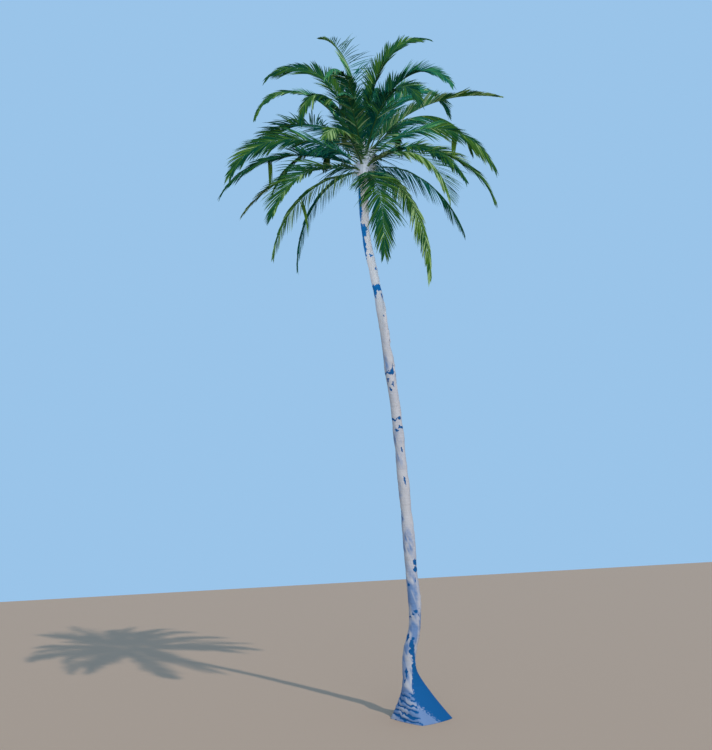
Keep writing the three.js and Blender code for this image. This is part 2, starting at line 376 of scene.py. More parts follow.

# How blue a place is: blue patches on a faintly streaked skin, a plain blue right face beside a paler fan,
# and blue bands in the valleys between the ridges of the foot's other faces, which are painted shade in
# those recesses.
streak = mottle(around + 1.5 * along, along, (9, 90), 10)
streak = streak + 0.7 * mottle(around - 2 * along, along, (26, 300), 13)
fan = FOOT_CREASE + FAN_SPREAD * (1 - height / FAN_TOP).clip(0, 1) ** 1.2
fan_edge = np.where(around > 0.7, 0.5 + 7 * (around - fan), 0.9)
aside = (around - RIGHT_EDGE + 0.5) % 1 - 0.5
right_edge = np.exp(-((aside / RIGHT_EDGE_WIDTH) ** 2)) * eased(height, *RIGHT_EDGE_FADE)
blue = np.maximum(patches(BLUE_PATCHES, height, around), 0.08 + 0.22 * streak + 0.16 * right_edge)
blue = np.where(flat > 0.5, np.maximum(fan_edge, 0.62 * (height > FAN_TOP)), blue)
# Painted shade: bluer in the valleys between the foot's ridges.
painted_valley_shade = 0.42 + 0.35 * (-ridge) + 0.15 * wave
blue = np.where((in_foot > 0.5) & (flat <= 0.5), painted_valley_shade, blue)

# Painted shade: how far a place goes towards the painted bluish shade: the listed patches, the lower stem
# and the foot, in a wavering wash.
wash = mottle(around + 1.5 * along, along, (8, 60), 10)
wash = eased(wash + 0.7 * mottle(around + 4 * along, along, (22, 90), 14), -1.1, 1.3)
painted_shade = 1.1 * patches(PAINTED_SHADES, height, around).clip(0, 1) * wash
painted_shade = painted_shade + 0.5 * (1 - eased(height, *SHADE_PAINTED_BELOW)) * (0.35 + 0.65 * wash)
# The blue patches, the painted shade and the painted light high on the stem go to the skin's material as
# attributes.
trunk_marks = {
    "blue": blue.clip(0, 1.5),
    "painted_shade": (painted_shade + 0.22 * (wash - 0.35) + 0.35 * in_foot).clip(0, 1),
    "fresh": eased(height, *PAINTED_LIGHT_FADE),
}
trunk_mesh = shell_mesh("trunk_skin", points, tube_faces(1, TRUNK_ROWS, TRUNK_COLUMNS), trunk_marks)

STAIN_EDGE = (0.44, 0.60)  # the mask's values at which a stain begins and is full
BLOTCH_COLOUR = (0.55, 0.56, 0.60, 1)  # what the blotches multiply by


def weather_group():
    """Uneven colour that several skins share: two colours mixed by a mask whose edge is broken up by noise,
    then darkened in small blotches."""
    group = bpy.data.node_groups.new("weathering", "ShaderNodeTree")
    for name, kind in (
        ("Clean", "NodeSocketColor"),
        ("Stained", "NodeSocketColor"),
        ("Mask", "NodeSocketFloat"),
        ("Scale", "NodeSocketFloat"),
        ("Ragged", "NodeSocketFloat"),
        ("Blotches", "NodeSocketFloat"),
    ):
        group.interface.new_socket(name, in_out="INPUT", socket_type=kind)
    group.interface.new_socket("Colour", in_out="OUTPUT", socket_type="NodeSocketColor")
    group.interface.new_socket("Grain", in_out="OUTPUT", socket_type="NodeSocketFloat")
    nodes, links = group.nodes, group.links
    given = nodes.new("NodeGroupInput").outputs
    result = nodes.new("NodeGroupOutput").inputs
    place = nodes.new("ShaderNodeTexCoord").outputs["Object"]

    def noise(times, detail):
        scale = nodes.new("ShaderNodeMath")
        scale.operation = "MULTIPLY"
        links.new(given["Scale"], scale.inputs[0])
        scale.inputs[1].default_value = times
        made = nodes.new("ShaderNodeTexNoise")
        made.inputs["Detail"].default_value = detail
        links.new(place, made.inputs["Vector"])
        links.new(scale.outputs[0], made.inputs["Scale"])
        return made.outputs["Fac"]

    def math(operation, first, second):
        made = nodes.new("ShaderNodeMath")
        made.operation = operation
        for socket, value in zip(made.inputs, (first, second)):
            if isinstance(value, (int, float)):
                socket.default_value = value
            else:
                links.new(value, socket)
        return made.outputs[0]

    def mix(factor, first, second, blend="MIX"):
        made = nodes.new("ShaderNodeMix")
        made.data_type = "RGBA"
        made.blend_type = blend
        links.new(factor, made.inputs["Factor"])
        for socket, value in ((made.inputs["A"], first), (made.inputs["B"], second)):
            if isinstance(value, tuple):
                socket.default_value = value
            else:
                links.new(value, socket)
        return made.outputs["Result"]

    fine = noise(times=9, detail=5)
    coarse = math("SUBTRACT", noise(times=2.2, detail=4), 0.5)
    edge = math("ADD", given["Mask"], math("MULTIPLY", coarse, given["Ragged"]))
    stain = nodes.new("ShaderNodeMapRange")
    stain.inputs["From Min"].default_value = STAIN_EDGE[0]
    stain.inputs["From Max"].default_value = STAIN_EDGE[1]
    links.new(edge, stain.inputs["Value"])
    blotch = math("MULTIPLY", fine, given["Blotches"])
    base = mix(stain.outputs[0], given["Clean"], given["Stained"])
    links.new(mix(blotch, base, BLOTCH_COLOUR, "MULTIPLY"), result["Colour"])
    links.new(fine, result["Grain"])
    return group


WEATHERING = weather_group()
GRAIN_DEPTH = 0.01


def weathered(nodes, links, shader, clean, stained, scale, ragged, blotches, bump, attribute=None):
    """Feeds a shader's colour and normal from the weathering group, whose mask a mesh attribute can give,
    and returns the group's node."""
    group = nodes.new("ShaderNodeGroup")
    group.node_tree = WEATHERING
    group.inputs["Clean"].default_value = (*clean, 1)
    group.inputs["Stained"].default_value = (*stained, 1)
    group.inputs["Scale"].default_value = scale
    group.inputs["Ragged"].default_value = ragged
    group.inputs["Blotches"].default_value = blotches
    if attribute:
        mask = nodes.new("ShaderNodeAttribute")
        mask.attribute_name = attribute
        links.new(mask.outputs["Fac"], group.inputs["Mask"])
    links.new(group.outputs["Colour"], shader.inputs["Base Color"])
    relief = nodes.new("ShaderNodeBump")
    relief.inputs["Strength"].default_value = bump
    relief.inputs["Distance"].default_value = GRAIN_DEPTH
    links.new(group.outputs["Grain"], relief.inputs["Height"])
    links.new(relief.outputs["Normal"], shader.inputs["Normal"])
    return group


BARK_LOOK = {"scale": 9.0, "ragged": 1.1, "blotches": 0.45, "bump": 0.35}
BARK_ROUGHNESS, BARK_SHINE = 0.78, 0.15
# The skin's colours: a pale ground, painted light high on the stem that lifts both it and the blue where
# the crown's shadow falls, painted bluish shade, and the blue of the patches.
BARK_PALE = (0.48, 0.435, 0.435)
BARK_PAINTED_LIGHT = (0.98, 0.89, 0.86)  # painted light, high on the stem where the crown's shadow falls
BARK_PAINTED_SHADE = (0.13, 0.20, 0.35)
BARK_BLUE = (0.001, 0.079, 0.23)
BARK_BLUE_PAINTED_LIGHT = (0.004, 0.21, 0.57)
bark, nodes, links, shader = painted("bark", BARK_PALE, BARK_ROUGHNESS)
shader.inputs["Specular IOR Level"].default_value = BARK_SHINE
skin = weathered(nodes, links, shader, BARK_PALE, BARK_BLUE, **BARK_LOOK, attribute="blue")
# Mixed in over the skin's colours: the painted shade into the pale colour, and the painted light high on
# the stem into both the pale colour and the blue.
for attribute, socket, colour in (
    ("painted_shade", skin.inputs["Clean"], BARK_PAINTED_SHADE),
    ("fresh", skin.inputs["Clean"], BARK_PAINTED_LIGHT),
    ("fresh", skin.inputs["Stained"], BARK_BLUE_PAINTED_LIGHT),
):
    mask = nodes.new("ShaderNodeAttribute")
    mask.attribute_name = attribute
    tinted = nodes.new("ShaderNodeMix")
    tinted.data_type = "RGBA"
    tinted.inputs["A"].default_value = socket.default_value
    tinted.inputs["B"].default_value = (*colour, 1)
    links.new(mask.outputs["Fac"], tinted.inputs["Factor"])
    if socket.is_linked:
        links.new(socket.links[0].from_socket, tinted.inputs["A"])
    links.new(tinted.outputs["Result"], socket)
trunk_mesh.materials.append(bark)
trunk = add("trunk_skin", trunk_mesh)
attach(trunk, "root")
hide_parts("trunk")

# ---- Fronds: where they lie ----------------------------------------------------------------------
# Each frond is one leaf: a stiff rib that clasps the heart with its foot, arches outwards and bends under
# its own weight. The young ones stand up and the old ones hang. Here each rib's line is read from the
# frond's CAD blades.
heart_low, heart_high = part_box("heart")
HEART_AXIS = np.array([(heart_low.x + heart_high.x) / 2, (heart_low.y + heart_high.y) / 2, 0])
HEART_MIDDLE = np.array((heart_low + heart_high) / 2)
UP = np.array([0, 0, 1.0])
OLD_RISE, YOUNG_RISE = -20, 90  # a rib's slope at its seat on the oldest and youngest fronds, in degrees
LINE_STEP = 0.004  # share of the frond, before and after a place, over which its direction is taken


def cuts_of(name):
    """A blade's cuts, four corners each, from the heart outwards. A blade is a loft, so a corner's cut is
    its number of edges from the narrow end, which is the seat of an inner blade and the tip of any
    other."""
    corners, pairs = merged_corners(name)
    joined = np.zeros((len(corners), len(corners)), bool)
    joined[pairs[:, 0], pairs[:, 1]] = joined[pairs[:, 1], pairs[:, 0]] = True
    apart = np.linalg.norm(corners[:, None] - corners, axis=2)
    from_heart = np.linalg.norm(corners - HEART_MIDDLE, axis=1)
    end = from_heart.argmin() if name.endswith("inner") else np.sort(apart, axis=1)[:, 3].argmin()
    cut = np.full(len(corners), -1)
    cut[apart[end].argsort()[:4]] = 0
    while (cut < 0).any():
        cut[joined[cut == cut.max()].any(0) & (cut < 0)] = cut.max() + 1
    found = np.array([corners[cut == number] for number in range(cut.max() + 1)])
    return found if name.endswith("inner") else found[::-1]


def read_frond(number):
    """A frond's rib, from its CAD blades: the rib runs midway between each cut's two corners in the frond's
    own upright plane, and the cut's other two corners give the reach to either side."""
    halves = [name for name in frond_nodes if name.startswith(f"frond_{number:02d}")]
    cuts = np.concatenate([cuts_of(name)[index > 0 :] for index, name in enumerate(halves)])
    outward = cuts.mean((0, 1)) - HEART_AXIS
    outward = np.array([outward[0], outward[1], 0]) / np.hypot(outward[0], outward[1])
    side = np.cross(UP, outward)
    across = cuts @ side
    order = across.argsort(1)
    rib = np.take_along_axis(cuts, order[:, 1:3, None], 1).mean(1)
    first_step = rib[1] - rib[0]
    rise = np.degrees(np.arctan2(first_step[2], first_step @ outward))
    return {
        "number": number,
        "rib": rib,
        "reach": np.ptp(across, axis=1).max() / 2,
        "side": side,
        "outward": outward,
        "youth": np.clip((rise - OLD_RISE) / (YOUNG_RISE - OLD_RISE), 0, 1),
    }


frond_nodes = sorted(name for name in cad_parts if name.startswith("frond_"))
fronds = [read_frond(number) for number in sorted({int(name.split("_")[1]) for name in frond_nodes})]


def rib_at(frond, share):
    """Places along a rib, with the way along it, the way to its side and the way above it."""
    knots = np.linspace(0, 1, len(frond["rib"]))
    place = through(knots, frond["rib"], share)
    along = through(knots, frond["rib"], share + LINE_STEP)
    along = along - through(knots, frond["rib"], share - LINE_STEP)
    along /= np.linalg.norm(along, axis=-1, keepdims=True)
    side = np.broadcast_to(frond["side"], along.shape)
    return place, along, side, np.cross(along, side)


# ---- Ribs ----------------------------------------------------------------------------------------
# A rib is a smooth yellow-green stalk, channelled above and round below, broad where it leaves the heart
# and thin as a pencil at the tip. Here its outline is carried along each frond's line.
RIB_STATIONS = 44
RIB_END = 0.95  # share of the frond; the last leaflets reach past it
RIB_SIDES = 12
RIB_WIDTHS = ([0, 0.05, 0.12, 0.35, 0.7, 1], [0.026, 0.023, 0.018, 0.013, 0.008, 0.003])
RIB_DEPTH_SHARE = 0.8
RIB_POINT = 0.0005  # half the width of each drawn-out end
CHANNEL = 0.35  # the channel's depth as a share of the rib's, near the heart
CHANNEL_WIDTH = 0.5  # radians round the rib
CHANNEL_FADE = (0.1, 0.5)  # shares of the frond between which it dies away
RIB_LOOK = {"scale": 5.0, "ragged": 1.5, "blotches": 0.4, "bump": 0.15}
RIB_ROUGHNESS, RIB_SHINE = 0.5, 0.2
RIB_PLAIN = (0.05, 0.12, 0.03)
RIB_DEEP = (0.035, 0.10, 0.02)
RIB_LIGHT = (0.09, 0.18, 0.045)


def rib_width(share):
    """Half the rib's width at a share of the frond."""
    return np.interp(share, *RIB_WIDTHS)


def rib_tube(frond):
    """A closed tube round the rib: its outline is a circle pushed in on top, and both ends are points."""
    share = np.linspace(0, RIB_END, RIB_STATIONS)
    place, along, side, above = rib_at(frond, share)
    turn = np.linspace(0, 2 * np.pi, RIB_SIDES, endpoint=False)
    width = rib_width(share)
    width[0] = width[-1] = RIB_POINT
    push = CHANNEL * np.exp(-(((turn - np.pi / 2) / CHANNEL_WIDTH) ** 2))
    push = push * (1 - eased(share, *CHANNEL_FADE))[:, None]
    out = np.cos(turn) * width[:, None]
    up = np.sin(turn) * (1 - push) * width[:, None] * RIB_DEPTH_SHARE
    return place[:, None] + out[..., None] * side[:, None] + up[..., None] * above[:, None]


rib_points = np.array([rib_tube(frond) for frond in fronds])
rib_mesh = shell_mesh("ribs", rib_points, tube_faces(len(fronds), RIB_STATIONS, RIB_SIDES))
rib_green, nodes, links, shader = painted("rib_green", RIB_PLAIN, RIB_ROUGHNESS)
shader.inputs["Specular IOR Level"].default_value = RIB_SHINE
weathered(nodes, links, shader, RIB_DEEP, RIB_LIGHT, **RIB_LOOK)
rib_mesh.materials.append(rib_green)
ribs = add("ribs", rib_mesh)
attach(ribs, "root")
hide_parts(*frond_nodes)

# ---- Heart ---------------------------------------------------------------------------------------
# What holds the fronds is a bundle of their own sheaths round the growing bud: each stalk widens at its
# foot into a pale, leathery scoop that clasps the stem, with fibres between the scoops and the folded spear
# leaf on top.
CORE_ROWS = 64
CORE_COLUMNS = 40
CORE_SUNK = 0.02  # metres that it reaches down into the trunk
# The core's radius in metres, by share of its height.
CORE_REACH = ([0, 0.1, 0.3, 0.5, 0.7, 1], [0.127, 0.132, 0.120, 0.085, 0.050, 0.010])
CORE_UNEVEN = 0.10
SCOOP_STATIONS = 12
SCOOP_SIDES = 16
SCOOP_DROP = 0.20  # metres from a frond's seat down to its scoop's foot
SCOOP_END = 0.065  # share of the frond where the scoop has become the stalk
SCOOP_WIDTHS = ([0, 0.3, 0.6, 1], [0.085, 0.060, 0.034, 0.023])  # half of each, in metres
SCOOP_DEPTHS = ([0, 0.3, 0.6, 1], [0.007, 0.010, 0.015, 0.018])
SCOOP_SUNK = 0.012  # metres that its foot is sunk into the core
SCOOP_RISE = 1.1  # how far it climbs the stem before it turns out, in times its drop
SCOOP_LEAD = 0.45  # how far before its end it already points along the rib, as a share of its reach
SCOOP_GREENING = (0.15, 0.7)  # shares of it between which it turns green
CLASP_RADIUS = 0.13  # of the stem that it bends round
FIBRES = 300
FIBRE_OUT = 0.11  # metres from the heart's axis to where a fibre starts
FIBRE_HEIGHTS = (0.02, 0.75)  # metres above the trunk's top
FIBRE_RISES = (-0.7, 0.8)  # for each metre outwards
FIBRE_LENGTHS = (0.12, 0.34)
FIBRE_DROOPS = (0, 0.5)
FIBRE_WIDTHS = (0.010, 0.022)

core_height = np.linspace(heart_low.z - CORE_SUNK, heart_high.z, CORE_ROWS)[:, None]
core_height = core_height + np.zeros(CORE_COLUMNS)
core_angle = np.linspace(0, 2 * np.pi, CORE_COLUMNS, endpoint=False) + np.zeros((CORE_ROWS, 1))
core_share = (core_height - heart_low.z) / (heart_high.z - heart_low.z)
core_radius = np.interp(core_share, *CORE_REACH)
core_radius = core_radius * (1 + CORE_UNEVEN * mottle(core_angle / (2 * np.pi), core_share, (9, 12), 20))
core_points = HEART_AXIS + np.stack(
    (core_radius * np.cos(core_angle), core_radius * np.sin(core_angle), core_height), -1
)
core_mesh = shell_mesh("heart_core", core_points, tube_faces(1, CORE_ROWS, CORE_COLUMNS))


def scoop(frond):
    """A closed shell from the heart's side out to the stalk: its line is a cubic curve that leaves the foot
    upwards and meets the rib, and its section an oval that is wide and bent round the stem at the foot."""
    part = np.linspace(0, 1, SCOOP_STATIONS)[:, None]
    seat = rib_at(frond, np.zeros(1))[0][0]
    end, along_end = (values[0] for values in rib_at(frond, np.full(1, SCOOP_END))[:2])
    foot_share = (seat[2] - SCOOP_DROP - heart_low.z) / (heart_high.z - heart_low.z)
    foot_out = np.interp(foot_share, *CORE_REACH) - SCOOP_SUNK
    foot = HEART_AXIS + frond["outward"] * foot_out + UP * (seat[2] - SCOOP_DROP)
    bend = foot + UP * SCOOP_DROP * SCOOP_RISE
    before = end - along_end * SCOOP_LEAD * np.linalg.norm(end - seat)
    rest = 1 - part
    line = foot * rest**3 + 3 * bend * rest**2 * part + 3 * before * rest * part**2 + end * part**3
    along = np.gradient(line, axis=0)
    along /= np.linalg.norm(along, axis=1, keepdims=True)
    side = np.broadcast_to(frond["side"], along.shape)
    above = np.cross(along, side)
    above /= np.linalg.norm(above, axis=1, keepdims=True)
    turn = np.linspace(0, 2 * np.pi, SCOOP_SIDES, endpoint=False)
    wide = np.cos(turn) * np.interp(part, *SCOOP_WIDTHS)
    thick = np.sin(turn) * np.interp(part, *SCOOP_DEPTHS)
    clasp = wide**2 / (2 * CLASP_RADIUS) * (1 - part) ** 1.5
    return line[:, None] + wide[..., None] * side[:, None] + (thick + clasp)[..., None] * above[:, None]


scoop_points = np.array([scoop(frond) for frond in fronds])
greening = eased(np.linspace(0, 1, SCOOP_STATIONS), *SCOOP_GREENING)[:, None]
greening = np.broadcast_to(greening, scoop_points.shape[:3])
scoop_faces = tube_faces(len(fronds), SCOOP_STATIONS, SCOOP_SIDES)
scoop_mesh = shell_mesh("heart_scoops", scoop_points, scoop_faces, {"green": greening})

generator = np.random.default_rng(77)
fibre_turn = generator.uniform(0, 2 * np.pi, FIBRES)
fibre_out = np.stack((np.cos(fibre_turn), np.sin(fibre_turn), np.zeros(FIBRES)), 1)
fibre_height = trunk_top + generator.uniform(*FIBRE_HEIGHTS, FIBRES)
fibre_start = HEART_AXIS + FIBRE_OUT * fibre_out + UP * fibre_height[:, None]
fibre_way = fibre_out + UP * generator.uniform(*FIBRE_RISES, FIBRES)[:, None]
fibre_way /= np.linalg.norm(fibre_way, axis=1, keepdims=True)
fibre_face = np.cross(fibre_way, generator.normal(0, 1, (FIBRES, 3)))
fibre_face /= np.linalg.norm(fibre_face, axis=1, keepdims=True)

# Fibres and leaflets are strips of one pattern.
LEAFLET_STATIONS = 8
LEAFLET_FOLD = 0.5  # how far the edges hang below the fold, as a share of half the width
LEAFLET_FOOT = 0.35  # the width at the seat, as a share of the greatest
LEAFLET_WIDEST = 0.3  # share of the length at which the width is greatest
LEAFLET_END = 0.0008  # half the width at the tip, in metres


def leaflet_strips(start, direction, face, length, droop, width):
    """The strips of points of one row of leaflets, or of fibres: left edge, fold and right edge at each
    station. The line is the running sum of a direction that starts out as given and turns down by the droop
    times the station's share to the power 1.3. The width opens by a quarter of a sine wave and closes
    towards the tip."""
    steps = LEAFLET_STATIONS - 1
    middle, ahead, facing = start.copy(), direction, face
    rows = []
    for station in range(LEAFLET_STATIONS):
        part = station / steps
        ahead = direction - UP * (droop * part**1.3)[:, None]
        ahead = ahead / np.linalg.norm(ahead, axis=1, keepdims=True)
        facing = facing - (facing * ahead).sum(1, keepdims=True) * ahead
        facing = facing / np.linalg.norm(facing, axis=1, keepdims=True)
        across = np.cross(ahead, facing)
        opened = LEAFLET_FOOT + (1 - LEAFLET_FOOT) * np.sin(np.pi / 2 * min(1, part / LEAFLET_WIDEST))
        half = width / 2 * opened * (1 - part**2.2) ** 0.8
        half = np.maximum(half, LEAFLET_END)[:, None]
        spread, sag = np.sqrt(1 - LEAFLET_FOLD**2) * half * across, LEAFLET_FOLD * half * facing
        rows.append(np.stack((middle - spread - sag, middle, middle + spread - sag), 1))
        middle = middle + ahead * (length / steps)[:, None]
    return np.stack(rows, 1)


row, column = np.meshgrid(np.arange(LEAFLET_STATIONS - 1), np.arange(2), indexing="ij")
corner = row * 3 + column
strip_faces = np.stack((corner, corner + 1, corner + 4, corner + 3), -1).reshape(-1, 4)


def strips_mesh(name, strips):
    """A mesh of many strips, each a grid of three points at every station."""
    first = np.arange(len(strips)) * LEAFLET_STATIONS * 3
    return shell_mesh(name, strips, [(strip_faces + first[:, None, None]).reshape(-1, 4)], smooth=False)


fibre_mesh = strips_mesh(
    "heart_fibres",
    leaflet_strips(
        fibre_start,
        fibre_way,
        fibre_face,
        generator.uniform(*FIBRE_LENGTHS, FIBRES),
        generator.uniform(*FIBRE_DROOPS, FIBRES),
        generator.uniform(*FIBRE_WIDTHS, FIBRES),
    ),
)
SHEATH_LOOK = {"scale": 8.0, "ragged": 0.8, "blotches": 0.4, "bump": 0.3}
SHEATH_ROUGHNESS = 0.7
# The sheaths and the fibres' patches are near white: partly their own pale colour and partly painted light
# against the crown's shade over the heart.
SHEATH_PALE_PAINTED_LIGHT = (0.92, 0.92, 0.97)
CORE_STAIN = (0.55, 0.56, 0.66)
SCOOP_GREEN = (0.13, 0.22, 0.05)
FIBRE_PALE_PAINTED_LIGHT = (0.75, 0.80, 0.95)
for name, mesh, stained, mask in (
    ("heart_core", core_mesh, CORE_STAIN, None),
    ("heart_scoops", scoop_mesh, SCOOP_GREEN, "green"),
    ("heart_fibres", fibre_mesh, FIBRE_PALE_PAINTED_LIGHT, None),
):
    material, nodes, links, shader = painted(name, SHEATH_PALE_PAINTED_LIGHT, SHEATH_ROUGHNESS)
    weathered(nodes, links, shader, SHEATH_PALE_PAINTED_LIGHT, stained, **SHEATH_LOOK, attribute=mask)
    mesh.materials.append(material)
    sheath = add(name, mesh)
    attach(sheath, "root")
    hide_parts("heart")

# ---- Leaflets ------------------------------------------------------------------------------------
# Two rows of long, narrow leaflets grow from each rib, folded down their middle like a roof. On young
# fronds they stand up and point forwards, and on old ones they hang. Each is a strip of leaf with a pointed
# end.
PAIRS = 165
FIRST_LEAFLET_OLD, FIRST_LEAFLET_YOUNG = 0.025, 0.17  # shares of the frond
LAST_LEAFLET = 0.95
LEAFLET_REACH = 2.2  # times the blade's reach
LEAFLET_WIDTH = 0.042
# The leaflets' length and width along the leafy part of a rib, as shares of the most.
LENGTHS = ([0, 0.05, 0.14, 0.3, 0.7, 1], [0.3, 0.55, 0.88, 1, 0.88, 0.32])
WIDTHS = ([0, 0.1, 0.7, 1], [0.7, 1, 1, 0.8])
ANGLE_AT_SEAT, ANGLE_AT_TIP = 57, 16  # between leaflet and rib, in degrees
ANGLE_FALL = 0.65  # the power of the share by which one angle passes into the other
YOUNG_CLOSER = 0.12  # share by which leaflets of the youngest frond lie closer to the rib
# By the frond's youth: how far leaflets stand above the rib's plane, in degrees, and how much they droop.
LIFT = ([0, 0.15, 0.35, 1], [-10, 10, 30, 40])
DROOP = ([0, 0.12, 0.3, 1], [0.9, 0.6, 0.45, 0.3])
# How far leaflets stray, in degrees: in clumps and each by itself, and less so towards the tip.
OPENING_DRIFT, OPENING_CHANCE = 8, 4
LIFT_DRIFT, LIFT_CHANCE = 13, 6
TWIST_CHANCE = 20
TIP_CALM = 0.65
# How many waves of clumps there are along a frond, and how much longer and limper leaflets are on a crest.
CLUMP_WAVES, LIFT_WAVES = (3.1, 5.3, 9.7), (1.7, 4.1, 7.9)
CLUMP_LENGTH, CLUMP_DROOP = 0.08, 0.25
# The least and most that chance makes of a leaflet's length, droop and width.
LENGTH_CHANCE, DROOP_CHANCE, WIDTH_CHANCE = (0.85, 1.08), (0.75, 1.25), (0.85, 1.1)
SEAT_CHANCE = 0.003  # how far a seat may shift along the rib, as a share of its leafy part
SEAT_OUT, SEAT_UP = 0.8, 0.2  # a seat's way out of the rib's line, in times half the rib's width
# A few torn leaflets of some fronds hang straight down, longer and wider than the rest.
TORN_REACH = 0.016  # of the leafy length, to either side of the tear
TORN_OPENING, TORN_LIFT = 80, -88
TORN_LENGTH, TORN_WIDTH, TORN_DROOP = 1.25, 1.5, 2
TORN_LUCK = 0.93  # it picks their green, a light one
# How much shorter and narrower limp leaflets are, and how much more they droop.
LIMP_SHORTER, LIMP_NARROWER, LIMP_DROOP = 0.3, 0.55, 1.2
# How the leaflets stand on each frond: the lift of the row towards the camera, in degrees, close to the
# heart, half way and near the tip, then the far row's, and then, each for the near row and the far one,
# what else sets them apart. "long", "wide" and "open" are times the usual, "limp" goes from 0 to 1, "light"
# moves the greens towards the light ones, and on many fronds it is painted light where it lightens them and
# painted shade where it darkens them, for the light they get. "full" is the share of leaflets that is
# there.
# "inside" is how much further than usual the crown's inner greens, painted lighter as painted light, reach,
# -1 for nowhere, and "torn" is the place of a tear, -1 for none. The leaflets of a frond that isn't listed
# stand as its youth alone has it.
LIFT_PLACES = (0.1, 0.5, 0.85)
EVEN = (1, 1)
USUAL = {
    "long": EVEN, "wide": EVEN, "open": EVEN, "limp": (0, 0), "light": (0, 0), "full": EVEN,
    "inside": (0, 0), "torn": (-1, -1),
}
HABITS = {
    1: ((20, 25, 50), (0, 20, 20), {
        "long": (0.9, 1.7), "wide": (1.2, 0.6), "open": (1.2, 2), "full": (1, 0.45), "light": (0.35, -0.2),
    }),
    2: ((20, 10, -10), (20, 10, -10), {"long": (0.8, 0.8), "full": (0.7, 0.7)}),
    3: ((50, 0, -70), (60, 60, 20), {"long": (1, 1), "light": (0, 0.1), "inside": (-1, -1)}),
    4: ((0, -30, -50), (0, -30, -50), {
        "long": (0.9, 0.9), "full": (0.65, 0.65), "light": (0.15, 0.15), "inside": (2, 2),
    }),
    5: ((-10, -20, -80), (50, 60, 35), {"long": (1.25, 1), "open": (1.3, 1.2), "inside": (-1, -1)}),
    6: ((80, 0, -60), (80, 65, 0), {"long": (1, 1.1), "inside": (0.8, 0.8)}),
    7: ((0, -30, -30), (30, 40, 0), {"long": (1.2, 1.2), "light": (-0.1, 0.05)}),
    8: ((-20, -40, 10), (30, 60, 20), {"long": (1.2, 1.1), "inside": (2, 2)}),
    9: ((50, 70, 60), (30, 40, 30), {"long": (0.8, 0.8), "light": (0.4, 0.3)}),
    10: ((-20, -20, -30), (90, 40, 20), {"long": (0.6, 0.7), "light": (0.1, 0.1)}),
    11: ((0, -60, -40), (10, 0, -20), {"long": (1.1, 0.9), "light": (0.1, 0.1)}),
    12: ((-10, -30, -30), (10, 10, 0), {"long": (1.1, 0.9), "light": (0.3, 0.3)}),
    13: ((-60, 0, 80), (-40, 50, 85), {
        "long": (1.2, 2.1), "open": (1.2, 1.5), "full": (0.8, 0.8), "light": (-0.1, -0.1),
    }),
    14: ((-30, -50, -30), (50, 40, 50), {"long": (1.25, 1.2), "light": (-0.1, 0.1)}),
    15: ((30, -30, -50), (50, 50, 20), {
        "long": (0.9, 0.9), "light": (-0.2, -0.15), "full": (0.8, 1), "torn": (0.58, -1),
    }),
    16: ((20, -10, -20), (-20, 40, 0), {
        "long": (0.5, 1.35), "open": (1, 1.4), "full": (1, 0.6), "light": (0.15, -0.05),
    }),
    17: ((30, 30, 0), (40, 40, 20), {
        "long": (0.7, 0.8), "wide": (0.8, 0.8), "full": (0.5, 0.5), "light": (0.3, 0.3),
    }),
    18: ((-70, -80, -80), (10, 50, 30), {
        "long": (1.05, 0.6), "limp": (0.9, 0), "open": (1, 0.45), "full": (0.55, 1), "light": (0.35, 0.25),
        "torn": (0.54, -1),
    }),
    19: ((20, 0, -20), (20, 0, -20), {
        "long": (0.8, 0.8), "full": (0.7, 0.7), "light": (0.1, 0.1), "inside": (1, 1),
    }),
    20: ((-30, 0, -10), (5, 0, -10), {"long": (1.15, 1.2), "open": (1.2, 1.3), "light": (0, 0.05)}),
    21: ((-30, -40, -50), (40, 20, 0), {
        "long": (0.85, 0.7), "open": (1, 0.45), "full": (0.6, 1), "light": (0.35, 0.4),
    }),
    22: ((-70, -80, -80), (40, 40, 20), {
        "long": (1.25, 0.7), "limp": (0.5, 0), "open": (1, 0.35), "full": (0.7, 1), "light": (-0.3, -0.3),
        "inside": (0.6, 0.6),
    }),
    23: ((10, -40, -60), (0, 20, 20), {
        "long": (1.1, 1.4), "open": (0.5, 2), "wide": (1.2, 0.6), "full": (1, 0.5), "light": (0.45, 0),
    }),
    24: ((10, -30, -30), (40, 35, 30), {"long": (1.2, 1.1), "light": (0.05, 0.2)}),
    25: ((-40, -50, -85), (15, 45, 0), {"long": (1.2, 1), "light": (0.15, 0), "torn": (0.6, -1)}),
    26: ((-40, -60, -60), (0, -10, -20), {"long": (1.1, 1), "light": (0.15, 0.15)}),
    27: ((0, -40, -60), (20, 10, 0), {"long": (0.7, 0.6)}),
    30: ((-20, -30, -40), (-20, -30, -40), {"long": (0.8, 0.5), "limp": (0.8, 0.8), "light": (-0.2, -0.2)}),
    32: ((60, 40, 0), (-70, -80, -80), {
        "long": (0.5, 0.95), "limp": (0, 0.9), "open": (0.4, 1), "light": (-0.3, -0.3), "full": (1, 0.35),
        "inside": (2, 2),
    }),
    33: ((0, -20, -30), (0, -20, -30), {"long": (0.5, 0.5), "full": (0.6, 0.6)}),
}
